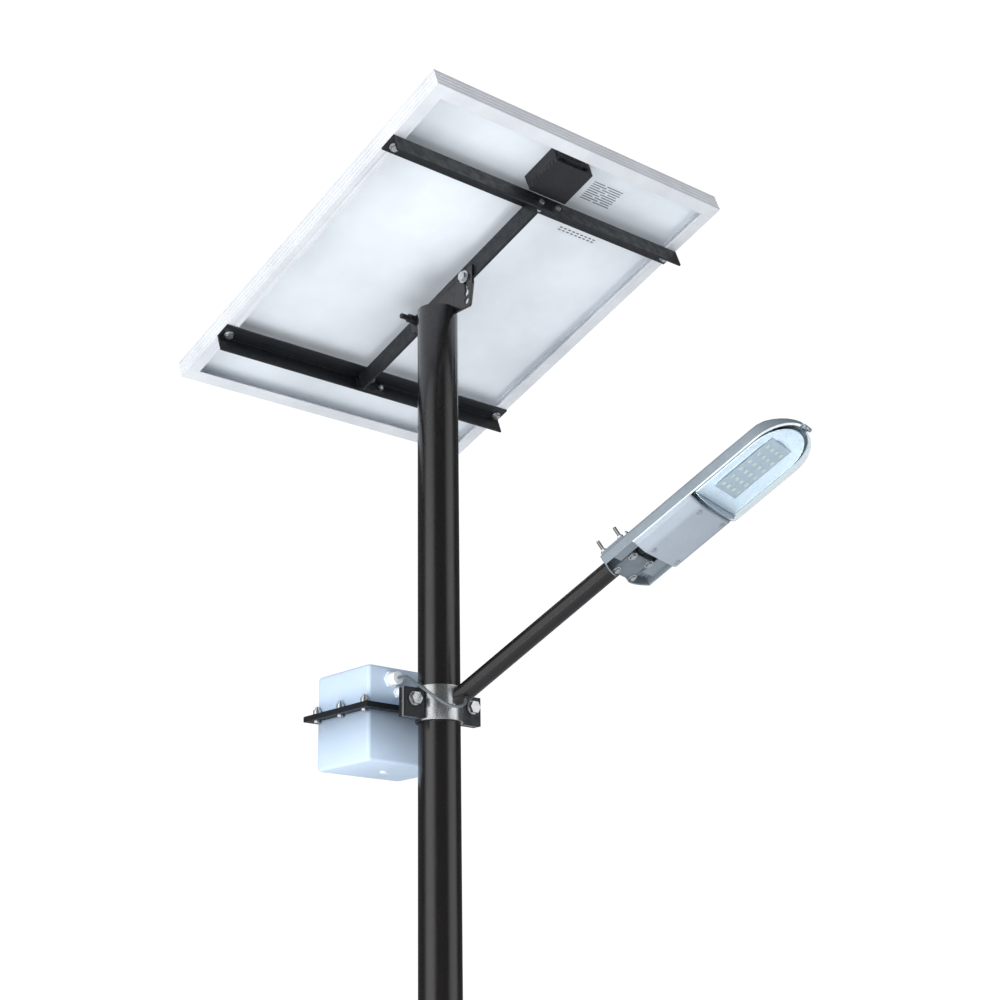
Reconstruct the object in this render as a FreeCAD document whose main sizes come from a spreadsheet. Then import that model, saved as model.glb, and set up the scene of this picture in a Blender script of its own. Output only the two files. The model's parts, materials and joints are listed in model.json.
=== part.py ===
import FreeCAD, Part
import math
import os
import re

import Sketcher

# Solar street lamp. Millimetres. +Z is up the pole, +X runs along the panel's cross rails and
# +Y is the down-slope side, where the battery box hangs. The origin is on the pole's axis at
# the base plate's underside.

V = FreeCAD.Vector
Z_AXIS = V(0, 0, 1)

SIZES = {
    # pole and base
    "pole_od": 73.0, "pole_wall": 3.6, "pole_top": 3000.0,
    "plate_side": 320.0, "plate_thick": 16.0, "anchor_spacing": 240.0, "anchor_dia": 18.0,
    "entry_dia": 40.0, "rib_thick": 8.0, "rib_reach": 95.0, "rib_height": 120.0,
    "cap_thick": 5.0, "cap_depth": 22.0,
    # tilt head
    "gusset_thick": 5.0, "gusset_left": 11.2, "gusset_seat": 12.0,
    "pivot_across": 75.0, "pivot_rise": 10.0, "pivot_dia": 10.0, "running_gap": 0.05,
    "index_arm": 143.1, "lock_angle": 163.97, "tilt_range": 13.5, "spare_angle": 19.8,
    "index_dia": 11.5, "lock_neck": 4.8, "lock_slot": 5.4,
    # panel
    "tilt": 20.0, "panel_x": 41.4, "panel_y": 13.1, "panel_rise": 52.7,
    "panel_wide": 680.0, "panel_long": 800.0, "frame_deep": 34.0, "frame_wall": 1.6,
    "flange_wide": 25.0, "flange_thick": 2.0, "lip_wide": 8.0, "lip_thick": 1.5,
    "sheet_back": 28.0, "sheet_thick": 0.3, "cell_thick": 1.0,
    "glass_thick": 3.2, "sheet_gap": 2.4,
    "cell_wide": 156.0, "cell_long": 78.0, "cell_gap": 3.0,
    "key_leg": 26.0, "key_thick": 3.0, "key_deep": 20.0,
    # rails
    "angle_leg": 35.0, "angle_thick": 4.0, "rail_upper": -277.0, "rail_lower": 273.0,
    "centre_face": -25.0, "rail_bolt_u": 325.0, "rail_bolt_v": 258.0, "rail_bolt": 8.0,
    "cross_bolt_u": 1.0, "cleat_bolt": 6.0, "cleat_bolt_left": -14.0, "cleat_bolt_right": 25.0,
    "cleat_bolt_n": -19.5,
    # junction box, in the panel's own directions
    "jbox_left": -42.0, "jbox_wide": 86.0, "jbox_top": -360.0, "jbox_long": 78.0,
    "jbox_split": 6.0, "jbox_lid": 11.0, "jbox_wall": 2.5,
    # clamp
    "band_height": 60.0, "band_low": 2237.0, "band_inner": 36.8, "band_outer": 41.0,
    "ear_reach": 83.0, "ear_thick": 5.0, "ear_low": 2239.0, "ear_height": 50.0,
    "clamp_bolt_x": 64.0, "clamp_bolt_z": 2270.0, "clamp_bolt": 12.0,
    # battery box
    "box_wide": 183.0, "box_deep": 148.0, "box_near": 78.0, "box_low": 2175.4,
    "box_high": 2342.8, "box_split": 2269.0, "box_wall": 3.0, "box_flange": 14.5,
    "flange_plate": 3.0, "seal_thick": 1.0, "cradle_thick": 2.5, "cradle_tall": 10.0,
    "box_bolt_out": 7.2, "bolt_along": 68.0,
    # arm
    "arm_od": 32.0, "arm_wall": 2.6, "arm_azimuth": -73.0, "arm_slope": 30.7,
    "arm_foot_z": 2253.0, "arm_end": 460.0, "grommet_s": 60.0, "grommet_turn": 30.0,
    "cable_dia": 5.0,
    # luminaire, along and across the arm's own directions
    "lamp_half": 78.0, "tail_end": 400.0, "tail_half": 22.0, "lamp_rear": 412.0,
    "nose_start": 725.0, "nose_reach": 62.0, "saddle_end": 450.0, "saddle_half": 36.0,
    "rim": -28.0, "canopy_wall": 2.5, "crown": 15.0, "crown_r": 119.4, "spine_r": 753.0,
    "spine_s": 560.0, "cover_from": 470.0, "cover_to": 590.0, "cover_half": 76.0,
    "cover_flat": 52.0, "cover_low": -46.0, "bowl_from": 592.0, "bowl_half": 75.0,
    "bowl_nose": 58.0, "bowl_top": -29.3, "bowl_deep": 26.7, "bowl_wall": 2.5,
    "bowl_axis_s": 787.5, "bowl_axis_h": -32.0, "hinge_r": 3.5, "hinge_pin": 3.0,
}

doc = FreeCAD.newDocument("solar_street_lamp")
sheet = doc.addObject("Spreadsheet::Sheet", "Sizes")
for row, (alias, number) in enumerate(SIZES.items(), start=1):
    sheet.set("A%d" % row, alias)
    sheet.set("B%d" % row, str(number))
    sheet.setAlias("B%d" % row, alias)
doc.recompute()

NODES = {}


def formula(text):
    """Point every alias in a formula at the sheet."""
    return re.sub(r"[a-z]\w*", lambda word: "Sizes." + word[0] if word[0] in SIZES else word[0],
                  str(text))


def num(text):
    """The present value of a formula, for placing things."""
    return float(sheet.evalExpression(formula(text)))


def bind(thing, **sizes):
    for prop, text in sizes.items():
        thing.setExpression(prop, formula(text))


def at(x=0, y=0, z=0, axis=Z_AXIS, turn=0):
    """A placement from three formulas and an optional turn."""
    return FreeCAD.Placement(V(num(x), num(y), num(z)), FreeCAD.Rotation(axis, num(turn)))


ROW = FreeCAD.Placement()
PANEL = at("panel_x", "panel_y", "pole_top + panel_rise", V(1, 0, 0), "-tilt")
ARM = FreeCAD.Placement(V(0, 0, num("arm_foot_z")),
                        FreeCAD.Rotation(num("arm_azimuth"), -num("arm_slope"), 0))
ALONG_X = FreeCAD.Rotation(V(0, 1, 0), 90)
ALONG_Y = FreeCAD.Rotation(V(1, 0, 0), -90)


def finish(name, thing, frame=ROW):
    """Name a finished sub-part and put it in its body's frame."""
    thing.Label = name
    if frame is not ROW:
        thing.Placement = frame.multiply(thing.Placement)
    NODES[name] = thing
    return thing


def block(x, y, z, wide, deep, tall):
    thing = doc.addObject("Part::Box", "block")
    bind(thing, Length=wide, Width=deep, Height=tall)
    thing.Placement = at(x, y, z)
    return thing


def rod(x, y, z, radius, length, turn=None):
    thing = doc.addObject("Part::Cylinder", "rod")
    bind(thing, Radius=radius, Height=length)
    thing.Placement = at(x, y, z)
    if turn is not None:
        thing.Placement.Rotation = turn
    return thing


def nut_prism(x, y, z, across, length, turn=None):
    thing = doc.addObject("Part::Prism", "hexagon")
    thing.Polygon = 6
    bind(thing, Circumradius="(%s) * 0.5774" % across, Height=length)
    thing.Placement = at(x, y, z)
    if turn is not None:
        thing.Placement.Rotation = turn
    return thing


def fuse(*members):
    thing = doc.addObject("Part::MultiFuse", "fused")
    thing.Shapes = list(members)
    return thing


def common(*members):
    thing = doc.addObject("Part::MultiCommon", "overlap")
    thing.Shapes = list(members)
    return thing


def cut(base, *tools):
    thing = doc.addObject("Part::Cut", "cut")
    thing.Base = base
    thing.Tool = tools[0] if len(tools) == 1 else fuse(*tools)
    return thing


def group(members):
    thing = doc.addObject("Part::Compound", "group")
    thing.Links = members
    return thing


def new_body():
    return doc.addObject("PartDesign::Body", "Body")


def origin_plane(body, role):
    return next(plane for plane in body.Origin.OriginFeatures if plane.Role == role)


def new_sketch(body, role, lift="0"):
    sketch = body.newObject("Sketcher::SketchObject", "Sketch")
    sketch.AttachmentSupport = (origin_plane(body, role), [""])
    sketch.MapMode = "FlatFace"
    sketch.setExpression("AttachmentOffset.Base.z", formula(lift))
    return sketch


def outline(sketch, corners):
    """A closed outline; each corner is held by two driving distances from the origin."""
    points = [V(num(x), num(y), 0) for x, y in corners]
    first = sketch.GeometryCount
    for place, point in enumerate(points):
        sketch.addGeometry(Part.LineSegment(point, points[(place + 1) % len(points)]), False)
    for place in range(len(points)):
        after = (place + 1) % len(points)
        sketch.addConstraint(Sketcher.Constraint("Coincident", first + place, 2, first + after, 1))
    for place, (x, y) in enumerate(corners):
        for kind, text in (("DistanceX", x), ("DistanceY", y)):
            rule = Sketcher.Constraint(kind, -1, 1, first + place, 1, num(text))
            index = sketch.addConstraint(rule)
            sketch.setExpression("Constraints[%d]" % index, formula(text))


def ring(sketch, x, y, radius):
    """A full circle with a driving centre and radius."""
    circle = Part.Circle(V(num(x), num(y), 0), Z_AXIS, num(radius))
    place = sketch.addGeometry(circle, False)
    for kind, text in (("DistanceX", x), ("DistanceY", y)):
        index = sketch.addConstraint(Sketcher.Constraint(kind, -1, 1, place, 3, num(text)))
        sketch.setExpression("Constraints[%d]" % index, formula(text))
    index = sketch.addConstraint(Sketcher.Constraint("Radius", place, num(radius)))
    sketch.setExpression("Constraints[%d]" % index, formula(radius))


def pad(body, sketch, length, both_ways=False, reverse=False):
    feature = body.newObject("PartDesign::Pad", "Pad")
    feature.Profile = sketch
    feature.Midplane = both_ways
    feature.Reversed = reverse
    bind(feature, Length=length)
    return feature


def pocket(body, sketch):
    """Cut a sketch right through, both ways."""
    feature = body.newObject("PartDesign::Pocket", "Pocket")
    feature.Profile = sketch
    feature.Type = "ThroughAll"
    feature.Midplane = True
    return feature


def hex_bolt(x, y, z, size, length, head, turn=None, way=1):
    """A bolt whose head sits behind its seat and whose shank leaves the seat along its way."""
    rotation = turn if turn is not None else FreeCAD.Rotation()
    direction = rotation.multVec(V(0, 0, way))
    seat = V(num(x), num(y), num(z))
    facing = FreeCAD.Rotation(Z_AXIS, direction)
    hexagon = nut_prism(0, 0, 0, "%s * 1.6" % size, head)
    hexagon.Placement = FreeCAD.Placement(seat - direction * num(head), facing)
    shank = doc.addObject("Part::Cylinder", "shank")
    bind(shank, Radius="(%s) / 2" % size, Height=length)
    shank.Placement = FreeCAD.Placement(seat, facing)
    return fuse(hexagon, shank)


def nut(x, y, z, size, thick, turn=None, across="1.6"):
    hexagon = nut_prism(x, y, z, "(%s) * %s" % (size, across), thick, turn)
    hole = rod(x, y, z, "(%s) / 2" % size, thick, turn)
    return cut(hexagon, hole)


def washer(x, y, z, bore, outer, thick, turn=None):
    return cut(rod(x, y, z, "(%s) / 2" % outer, thick, turn),
               rod(x, y, z, "(%s) / 2" % bore, thick, turn))


# ---------------------------------------------------------------- pole and base

def base_plate():
    body = new_body()
    square = new_sketch(body, "XY_Plane")
    half = "plate_side / 2"
    outline(square, [("-" + half, "-" + half), (half, "-" + half), (half, half), ("-" + half, half)])
    pad(body, square, "plate_thick")
    holes = new_sketch(body, "XY_Plane")
    ring(holes, 0, 0, "entry_dia / 2")
    for side in ("-", ""):
        for end in ("-", ""):
            ring(holes, side + "anchor_spacing / 2", end + "anchor_spacing / 2", "anchor_dia / 2")
    pocket(body, holes)
    finish("base_plate", body)


def base_ribs():
    """Four triangular ribs between the plate and the pole."""
    ribs = []
    for quarter in range(4):
        body = new_body()
        side = new_sketch(body, "XZ_Plane")
        inner = "pole_od / 2"
        outer = "pole_od / 2 + rib_reach"
        outline(side, [(inner, "plate_thick"), (outer, "plate_thick"),
                       (outer, "plate_thick + 14"), (inner + " + 12", "plate_thick + rib_height"),
                       (inner, "plate_thick + rib_height")])
        pad(body, side, "rib_thick", both_ways=True)
        body.Placement.Rotation = FreeCAD.Rotation(Z_AXIS, 90 * quarter)
        ribs.append(body)
    finish("base_ribs", group(ribs))


def pole_tube():
    body = new_body()
    section = new_sketch(body, "XY_Plane", "plate_thick")
    ring(section, 0, 0, "pole_od / 2")
    ring(section, 0, 0, "pole_od / 2 - pole_wall")
    pad(body, section, "pole_top - plate_thick")
    slot = new_sketch(body, "XZ_Plane")
    left = "gusset_left"
    right = "gusset_left + gusset_thick"
    low = "pole_top - gusset_seat"
    outline(slot, [(left, low), (right, low), (right, "pole_top + 1"), (left, "pole_top + 1")])
    pocket(body, slot)
    finish("pole_tube", cut(body, block(right, 0, "pole_top - 10", 5.6, 40, 12)))


def pole_cap():
    finish("pole_cap", rod(0, 0, "pole_top - cap_depth", "pole_od / 2 - pole_wall", "cap_thick"))


def on_index_arc(angle):
    """Across and up of a point on the index arc, as formulas."""
    return ("pivot_across + index_arm * cos(%s)" % angle,
            "pole_top + pivot_rise + index_arm * sin(%s)" % angle)


def tilt_gusset():
    """Plate in the pole's slot, with the pivot hole, the locking slot and a spare hole."""
    body = new_body()
    side = new_sketch(body, "YZ_Plane", "gusset_left")
    top = "pole_top"
    outline(side, [(-84, top + " + 68"), (-84.6, top + " + 30"), (-78, top + " - 9"),
                   (-75, top + " - gusset_seat"), (85, top + " - gusset_seat"),
                   (89, top + " - 8"), (92, top + " + 8"), (84, top + " + 20")])
    pad(body, side, "gusset_thick")
    holes = new_sketch(body, "YZ_Plane")
    ring(holes, "pivot_across", top + " + pivot_rise", "pivot_dia / 2")
    for angle in ("lock_angle + tilt_range", "lock_angle + spare_angle"):
        across, up = on_index_arc(angle)
        ring(holes, across, up, "index_dia / 2")
    pocket(body, holes)
    arc = doc.addObject("Part::Cylinder", "slot_outer")
    bind(arc, Radius="index_arm + lock_slot / 2", Height="gusset_thick + 2", Angle="tilt_range")
    inner = doc.addObject("Part::Cylinder", "slot_inner")
    bind(inner, Radius="index_arm - lock_slot / 2", Height="gusset_thick + 2", Angle="tilt_range")
    facing = FreeCAD.Rotation(V(0, 1, 0), V(0, 0, 1), V(1, 0, 0), "ZXY")
    start = FreeCAD.Rotation(Z_AXIS, num("lock_angle"))
    seat = V(num("gusset_left") - 1, num("pivot_across"), num("pole_top + pivot_rise"))
    for sector in (arc, inner):
        sector.Placement = FreeCAD.Placement(seat, facing.multiply(start))
    across, up = on_index_arc("lock_angle")
    end = rod("gusset_left - 1", across, up, "lock_slot / 2", "gusset_thick + 2", ALONG_X)
    finish("tilt_gusset", cut(cut(body, cut(arc, inner)), end))


def pivot_fixing():
    across = "pivot_across"
    up = "pole_top + pivot_rise"
    seat = "gusset_left + gusset_thick + 0.2 + angle_thick + 0.3"
    bolt = hex_bolt(seat, across, up, "pivot_dia", "%s + 25" % seat, 6.4, ALONG_X, -1)
    finish("pivot_bolt", bolt)
    nuts = [washer("gusset_left - 2", across, up, "pivot_dia", 20, 2, ALONG_X),
            nut("gusset_left - 10", across, up, "pivot_dia", 8, ALONG_X),
            nut("gusset_left - 19", across, up, "pivot_dia", 8, ALONG_X)]
    finish("pivot_nuts", group(nuts))


# ---------------------------------------------------------------- panel

def frame_rail(name, half_length, half_across, turn, bolt_row=None):
    """One rail of the panel's frame: grooved wall, rear flange, glazing channel, mitred ends."""
    body = new_body()
    section = new_sketch(body, "YZ_Plane")
    out = "-(%s)" % half_across
    deep = "frame_deep"
    corners = [(0, 0), ("flange_wide", 0), ("flange_wide", "flange_thick"),
               ("frame_wall", "flange_thick"), ("frame_wall", "sheet_back - 1.6"),
               ("lip_wide", "sheet_back - 1.6"), ("lip_wide", "sheet_back"),
               ("frame_wall", "sheet_back"), ("frame_wall", deep + " - lip_thick"),
               ("lip_wide", deep + " - lip_thick"), ("lip_wide", deep), (0, deep)]
    for level in (24, 16, 8):
        corners += [(0, level + 1.5), (0.7, level + 0.8), (0.7, level - 0.8), (0, level - 1.5)]
    outline(section, [("%s + %s" % (out, y), z) for y, z in corners])
    pad(body, section, "2 * (%s)" % half_length, both_ways=True)
    mitres = new_sketch(body, "XY_Plane")
    reach = "flange_wide + 5"
    for side in ("", "-"):
        end = "%s(%s)" % (side, half_length)
        inset = "%s(%s - %s)" % (side, half_length, "(" + reach + ")")
        outline(mitres, [(end, out), (end, "%s + %s" % (out, reach)),
                         (inset, "%s + %s" % (out, reach))])
    pocket(body, mitres)
    if bolt_row:
        holes = new_sketch(body, "XY_Plane")
        for side in ("-", ""):
            ring(holes, side + bolt_row, "-rail_bolt_u", "rail_bolt / 2")
        pocket(body, holes)
    body.Placement.Rotation = FreeCAD.Rotation(Z_AXIS, turn)
    finish(name, body, PANEL)


def frame_rails():
    across = "panel_wide / 2"
    along = "panel_long / 2"
    frame_rail("frame_rail_upper", across, along, 0)
    frame_rail("frame_rail_right", along, across, 90, "rail_bolt_v")
    frame_rail("frame_rail_lower", across, along, 180)
    frame_rail("frame_rail_left", along, across, 270, "rail_bolt_v")


def corner_keys():
    """An angle block inside each mitred corner."""
    keys = []
    for u_side in (-1, 1):
        for v_side in (-1, 1):
            body = new_body()
            plan = new_sketch(body, "XY_Plane", "flange_thick + 0.4")
            far_u = "(panel_wide / 2 - frame_wall - 0.1)"
            far_v = "(panel_long / 2 - frame_wall - 0.1)"
            shape = [(far_u, far_v), (far_u, far_v + " - key_leg"),
                     (far_u + " - key_thick", far_v + " - key_leg"),
                     (far_u + " - key_thick", far_v + " - key_thick"),
                     (far_u + " - key_leg", far_v + " - key_thick"),
                     (far_u + " - key_leg", far_v)]
            outline(plan, [("%d * (%s)" % (u_side, u), "%d * (%s)" % (v_side, v)) for u, v in shape])
            pad(body, plan, "key_deep")
            keys.append(body)
    finish("corner_keys", group(keys), PANEL)


def laminate(name, back, thick):
    """One full-size layer of the laminate."""
    wide = "panel_wide - 2 * sheet_gap"
    tall = "panel_long - 2 * sheet_gap"
    layer = block("-(%s) / 2" % wide, "-(%s) / 2" % tall, back, wide, tall, thick)
    finish(name, layer, PANEL)


def laminate_layers():
    laminate("backsheet", "sheet_back", "sheet_thick")
    laminate("panel_glass", "frame_deep - lip_thick - glass_thick", "glass_thick")
    cells = []
    for column in range(4):
        for line in range(9):
            u = "(%d - 2) * (cell_wide + cell_gap) + cell_gap / 2" % column
            v = "(%d - 4.5) * (cell_long + cell_gap) + cell_gap / 2" % line
            cells.append(block(u, v, "sheet_back + sheet_thick", "cell_wide", "cell_long",
                               "cell_thick"))
    finish("solar_cells", group(cells), PANEL)


def junction_box():
    right = "jbox_left + jbox_wide"
    tall = "sheet_back - jbox_split"
    wall = "jbox_wall"
    shell = block("jbox_left", "jbox_top", "jbox_split", "jbox_wide", "jbox_long", tall)
    inside = block("jbox_left + jbox_wall", "jbox_top + jbox_wall", "jbox_split",
                   "jbox_wide - 2 * jbox_wall", "jbox_long - 2 * jbox_wall", tall + " - jbox_wall")
    hinge_v = "jbox_top - 3.2"
    ends = []
    for start in (-32, 22):
        ends.append(rod(start, hinge_v, "jbox_split", 2.5, 12, ALONG_X))
        ends.append(block(start, hinge_v, "jbox_split + 0.5", 12, 4.0, 2.0))
    pin = rod(-32, hinge_v, "jbox_split", 1.2, 66, ALONG_X)
    base = fuse(cut(shell, inside), pin, *ends)
    finish("junction_box_base", base, PANEL)

    top = "jbox_split - 0.3"
    lid = block("jbox_left", "jbox_top + 0.3", "jbox_split - jbox_lid", "jbox_wide",
                "jbox_long - 0.3", "jbox_lid - 0.3")
    hollow = block("jbox_left + jbox_wall", "jbox_top + 0.3 + jbox_wall",
                   "jbox_split - jbox_lid + jbox_wall", "jbox_wide - 2 * jbox_wall",
                   "jbox_long - 0.3 - 2 * jbox_wall", "jbox_lid")
    barrel = fuse(cut(rod(-19.6, hinge_v, "jbox_split", 2.5, 41.2, ALONG_X),
                      rod(-19.6, hinge_v, "jbox_split", "1.2 + running_gap", 41.2, ALONG_X)),
                  block(-19.6, hinge_v + " + 1.6", "jbox_split - 2.5", 41.2, 2.4, 2.2))
    ribs = [block("jbox_left - 1.2", "jbox_top + 8 + %d" % step, "jbox_split - jbox_lid + 2",
                  1.2, 4, 7) for step in range(0, 64, 9)]
    finish("junction_box_lid", fuse(cut(lid, hollow), barrel, *ribs), PANEL)

    floor = "sheet_back - jbox_wall"
    parts = [block(-30, "jbox_top + 22", floor + " - 6", 62, 22, 6)]
    for place in range(4):
        parts.append(block(-27 + 15 * place, "jbox_top + 26", floor + " - 11", 10, 14, 5))
    for place in range(2):
        parts.append(rod(-20 + 28 * place, "jbox_top + 56", floor + " - 3", 2.6, 14, ALONG_X))
    finish("junction_terminals", group(parts), PANEL)

    glands = []
    for along in (22, 50):
        v = "jbox_top + %d" % along
        n = "(jbox_split + sheet_back) / 2"
        glands.append(fuse(nut_prism(right, v, n, 16, 4, ALONG_X),
                           rod(right + " + 4", v, n, 6.5, 9, ALONG_X)))
    finish("junction_glands", group(glands), PANEL)
    finish("earth_tag", block(right, "jbox_top + 68", 14, 14, 8, 6), PANEL)


def rating_labels():
    labels = [block(80, -336, "sheet_back - 0.3", 96, 52, 0.3),
              block(100, -216, "sheet_back - 0.3", 104, 16, 0.3)]
    finish("rating_labels", group(labels), PANEL)


def angle_rail(name, outer_face, inward):
    """A cross rail: flat leg against the panel's flanges, upright leg on the outer side."""
    body = new_body()
    section = new_sketch(body, "YZ_Plane")
    leg = "%s + %d * angle_leg" % (outer_face, inward)
    web = "%s + %d * angle_thick" % (outer_face, inward)
    outline(section, [(outer_face, 0), (outer_face, "-angle_leg"), (web, "-angle_leg"),
                      (web, "-angle_thick"), (leg, "-angle_thick"), (leg, 0)])
    pad(body, section, "panel_wide", both_ways=True)
    holes = new_sketch(body, "XY_Plane")
    row = "%d * rail_bolt_v" % (-inward)
    for u in ("-rail_bolt_u", "cross_bolt_u", "rail_bolt_u"):
        ring(holes, u, row, "rail_bolt / 2")
    pocket(body, holes)
    leg_holes = new_sketch(body, "XZ_Plane")
    for u in ("cleat_bolt_left", "cleat_bolt_right"):
        ring(leg_holes, u, "cleat_bolt_n", "cleat_bolt / 2")
    pocket(body, leg_holes)
    finish(name, body, PANEL)


def centre_rail():
    """Angle under the cross rails; its upright leg carries the pivot and the lock."""
    body = new_body()
    section = new_sketch(body, "XZ_Plane")
    face = "centre_face"
    web = "centre_face + angle_thick"
    top = "-angle_thick"
    low = "-angle_thick - angle_leg"
    outline(section, [(face, low), (web, low), (web, "-2 * angle_thick"),
                      (face + " + angle_leg", "-2 * angle_thick"), (face + " + angle_leg", top),
                      (face, top)])
    pad(body, section, "rail_lower - rail_upper - 2 * angle_thick - 9", both_ways=True)
    shift = num("(rail_lower + rail_upper) / 2")
    body.Placement.Base = V(0, shift, 0)
    body.Placement = PANEL.multiply(body.Placement)
    bores = []
    reach = num("gusset_left + gusset_thick")
    pivot = V(reach, num("pivot_across"), num("pole_top + pivot_rise"))
    across, up = on_index_arc("lock_angle")
    lock = V(reach, num(across), num(up))
    for centre, radius in ((pivot, "pivot_dia / 2 + running_gap"), (lock, "lock_neck / 2")):
        bores.append(rod(centre.x, centre.y, centre.z, radius, 8, ALONG_X))
    for v in ("-rail_bolt_v", "rail_bolt_v"):
        hole = rod("cross_bolt_u", v, -12, "rail_bolt / 2", 12)
        hole.Placement = PANEL.multiply(hole.Placement)
        bores.append(hole)
    finish("centre_rail", cut(body, *bores))


def rail_cleats():
    """Plates that close the centre rail's ends against the cross rails' upright legs."""
    wide = 60
    tall = "angle_leg - angle_thick - 5"
    cleats = []
    for face in ("rail_upper + angle_thick", "rail_lower - 2 * angle_thick"):
        plate = block("centre_face - 4", face, "-angle_leg + 2", wide, "angle_thick", tall)
        holes = [rod(u, face + " - 1", "cleat_bolt_n", "cleat_bolt / 2", "angle_thick + 2", ALONG_Y)
                 for u in ("cleat_bolt_left", "cleat_bolt_right")]
        cleats.append(cut(plate, *holes))
    finish("rail_cleats", group(cleats), PANEL)


def rail_fixings():
    """End bolts, crossing bolts and cleat bolts of the three rails."""
    bolts = []
    nuts = []
    up = FreeCAD.Rotation()
    for v_side in (-1, 1):
        v = "%d * rail_bolt_v" % v_side
        for u in ("-rail_bolt_u", "rail_bolt_u"):
            bolts.append(hex_bolt(u, v, "-angle_thick - 1.6", "rail_bolt", 16, 5.3, up))
            nuts.append(washer(u, v, "-angle_thick - 1.6", "rail_bolt", 18, 1.6))
            nuts.append(nut(u, v, "flange_thick", "rail_bolt", 6.5))
        bolts.append(hex_bolt("cross_bolt_u", v, "-2 * angle_thick", "rail_bolt", 16, 5.3, up))
        nuts.append(nut("cross_bolt_u", v, 0, "rail_bolt", 6.5))
        face = "rail_upper" if v_side < 0 else "rail_lower"
        nut_from = face + (" + 2 * angle_thick" if v_side < 0 else " - 2 * angle_thick - 5")
        for u in ("cleat_bolt_left", "cleat_bolt_right"):
            bolts.append(hex_bolt(u, face, "cleat_bolt_n", "cleat_bolt", 15, 4, ALONG_Y, -v_side))
            nuts.append(nut(u, nut_from, "cleat_bolt_n", "cleat_bolt", 5, ALONG_Y))
    finish("rail_bolts", group(bolts), PANEL)
    finish("rail_nuts", group(nuts), PANEL)


def lock_fixing():
    across, up = on_index_arc("lock_angle")
    face = "gusset_left - 2.3"
    bolt = hex_bolt(face, across, up, "lock_neck", 20, 5.5, ALONG_X)
    head = nut_prism("gusset_left - 7.8", across, up, 16, 5.5, ALONG_X)
    finish("lock_bolt", fuse(bolt, head))
    rail_back = "panel_x + centre_face + angle_thick"
    nuts = [washer(face, across, up, "lock_neck", 24, 2, ALONG_X),
            washer(rail_back, across, up, "lock_neck", 18, 1.6, ALONG_X),
            nut(rail_back + " + 1.6", across, up, "lock_neck", 5, ALONG_X, "2.7")]
    finish("lock_nut", group(nuts))


# ---------------------------------------------------------------- clamp and battery box

def half_band(side):
    """Half of the pole clamp: band and two ears; side is -1 for the arm's half."""
    body = new_body()
    plan = new_sketch(body, "XY_Plane", "band_low")
    ring(plan, 0, 0, "band_outer")
    ring(plan, 0, 0, "band_inner")
    pad(body, plan, "band_height")
    near = 1 if side > 0 else -120
    keep = block(-120, near, "band_low", 240, 119, "band_height")
    ears = []
    for end in (-1, 1):
        start = "band_outer - 3" if end > 0 else "-ear_reach"
        y = 1 if side > 0 else "-1 - ear_thick"
        ear = block(start, y, "ear_low", "ear_reach - band_outer + 3", "ear_thick", "ear_height")
        bolt_y = "1 - 2" if side > 0 else "-3 - ear_thick"
        hole = rod("%d * clamp_bolt_x" % end, bolt_y, "clamp_bolt_z", "clamp_bolt / 2",
                   "ear_thick + 4", ALONG_Y)
        ears.append(cut(ear, hole))
    shell = fuse(common(body, keep), *ears)
    bore = rod(0, 0, "band_low", "band_inner", "band_height")
    return cut(shell, bore)


def clamp():
    front = half_band(-1)
    finish("clamp_front_band", front)
    finish("clamp_rear_band", half_band(1))
    plates = []
    bolts = []
    nuts = []
    face = "-1 - ear_thick"
    for end in (-1, 1):
        x = "%d * clamp_bolt_x" % end
        left = "band_outer + 1" if end > 0 else "-ear_reach"
        plate = block(left, face + " - 6", "ear_low", "ear_reach - band_outer - 1", 6, "ear_height")
        hole = rod(x, face + " - 7", "clamp_bolt_z", "clamp_bolt / 2", 8, ALONG_Y)
        plates.append(cut(plate, hole))
        bolts.append(hex_bolt(x, face + " - 8", "clamp_bolt_z", "clamp_bolt", 32, 7.5, ALONG_Y))
        nuts.append(washer(x, face + " - 8", "clamp_bolt_z", "clamp_bolt", 24, 2, ALONG_Y))
        nuts.append(washer(x, "1 + ear_thick", "clamp_bolt_z", "clamp_bolt", 24, 2, ALONG_Y))
        nuts.append(nut(x, "3 + ear_thick", "clamp_bolt_z", "clamp_bolt", 10, ALONG_Y))
    finish("clamp_backing_plates", group(plates))
    finish("clamp_bolts", group(bolts))
    finish("clamp_nuts", group(nuts))


# Cable glands in the lid's near wall: x, z, thread radius and size across the flats.
GLANDS = ((-44, 2320, 8, 26), (-27, 2299.5, 5, 19))


def box_bolt_places():
    """Six flange bolts down the box's two sides."""
    half = num("box_wide / 2 + box_bolt_out")
    near = num("box_near + 2")
    return [(end * half, near + step * num("bolt_along")) for end in (-1, 1) for step in range(3)]


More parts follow.
